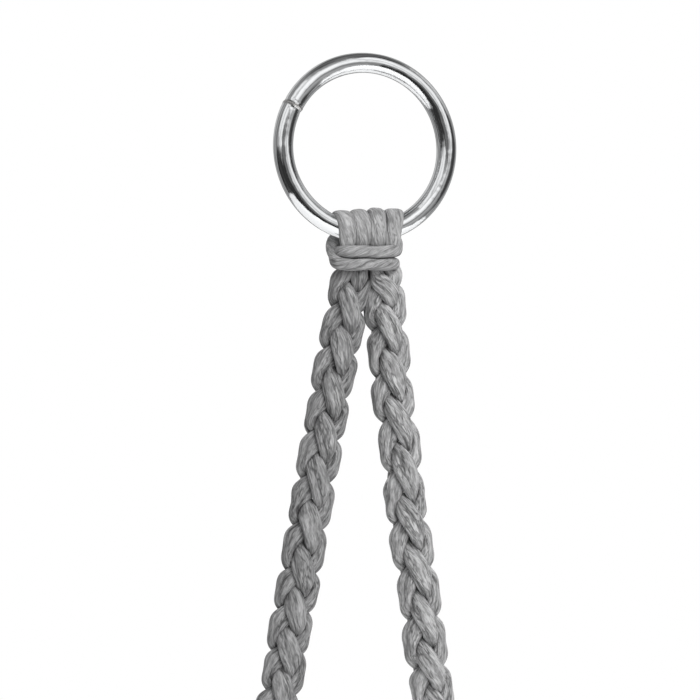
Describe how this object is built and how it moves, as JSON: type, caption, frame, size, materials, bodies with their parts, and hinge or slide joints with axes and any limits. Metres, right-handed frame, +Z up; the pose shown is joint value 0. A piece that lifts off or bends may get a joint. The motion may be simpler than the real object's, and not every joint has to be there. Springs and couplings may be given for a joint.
{
  "type": "rope hammock hanging end",
  "caption": "Hanging end of a rope hammock: a steel ring with soft cords folded over it, bound by two turns and braided into two ropes that spread apart.",
  "frame": {"origin": "hook seat: the middle of the ring's inner surface at its top, where the hook bears", "axes": "+Z up towards the hook, +X to the right in the plane of the ring, -Y to the front"},
  "size_m": [0.0855, 0.0192, 0.2908],
  "materials": {
    "ring_steel": "bright plated",
    "cord": "soft twisted grey cord",
    "whipping_twine": "fine twine"
  },
  "bodies": {
    "ring": {"ring": "ring_steel"},
    "bights": {"cord_1_bight": "cord", "cord_2_bight": "cord", "cord_3_bight": "cord", "cord_4_bight": "cord"},
    "knot": {"cord_1_binding": "cord", "cord_1_front_leg": "cord", "cord_2_back_leg": "cord", "cord_2_front_leg": "cord", "cord_3_back_leg": "cord", "cord_3_front_leg": "cord", "cord_4_back_leg": "cord", "cord_4_front_leg": "cord"},
    "left_upper": {"left_upper_strand_a": "cord", "left_upper_strand_b": "cord", "left_upper_strand_c": "cord", "left_upper_strand_d": "cord"},
    "left_middle": {"left_middle_strand_a": "cord", "left_middle_strand_b": "cord", "left_middle_strand_c": "cord", "left_middle_strand_d": "cord"},
    "left_lower": {"left_lower_strand_a": "cord", "left_lower_strand_b": "cord", "left_lower_strand_c": "cord", "left_lower_strand_d": "cord", "left_whipping": "whipping_twine"},
    "right_upper": {"right_upper_strand_a": "cord", "right_upper_strand_b": "cord", "right_upper_strand_c": "cord", "right_upper_strand_d": "cord"},
    "right_middle": {"right_middle_strand_a": "cord", "right_middle_strand_b": "cord", "right_middle_strand_c": "cord", "right_middle_strand_d": "cord"},
    "right_lower": {"right_lower_strand_a": "cord", "right_lower_strand_b": "cord", "right_lower_strand_c": "cord", "right_lower_strand_d": "cord", "right_whipping": "whipping_twine"}
  },
  "joints": [
    {"name": "hitch_slide", "type": "hinge", "parent": "ring", "child": "bights", "pos_m": [0, 0, -0.03002], "axis": [0, 1, 0], "range_deg": [-60, 60]},
    {"name": "hitch_swing", "type": "hinge", "parent": "bights", "child": "knot", "pos_m": [0, 0, -0.06402], "axis": [1, 0, 0], "range_deg": [-45, 45]},
    {"name": "left_rope_splay", "type": "hinge", "parent": "knot", "child": "left_upper", "pos_m": [-0.00702, 0, -0.08142], "axis": [0, 1, 0], "range_deg": [0, 30]},
    {"name": "left_rope_bend", "type": "hinge", "parent": "left_upper", "child": "left_middle", "pos_m": [-0.0199, 0, -0.15302], "axis": [1, 0, 0], "range_deg": [-40, 40]},
    {"name": "left_rope_sway", "type": "hinge", "parent": "left_middle", "child": "left_lower", "pos_m": [-0.03048, 0, -0.21183], "axis": [0, 1, 0], "range_deg": [-40, 40]},
    {"name": "right_rope_splay", "type": "hinge", "parent": "knot", "child": "right_upper", "pos_m": [0.00676, 0, -0.08232], "axis": [0, 1, 0], "range_deg": [-30, 0]},
    {"name": "right_rope_bend", "type": "hinge", "parent": "right_upper", "child": "right_middle", "pos_m": [0.01574, 0, -0.15053], "axis": [1, 0, 0], "range_deg": [-40, 40]},
    {"name": "right_rope_sway", "type": "hinge", "parent": "right_middle", "child": "right_lower", "pos_m": [0.02468, 0, -0.21844], "axis": [0, 1, 0], "range_deg": [-40, 40]}
  ]
}
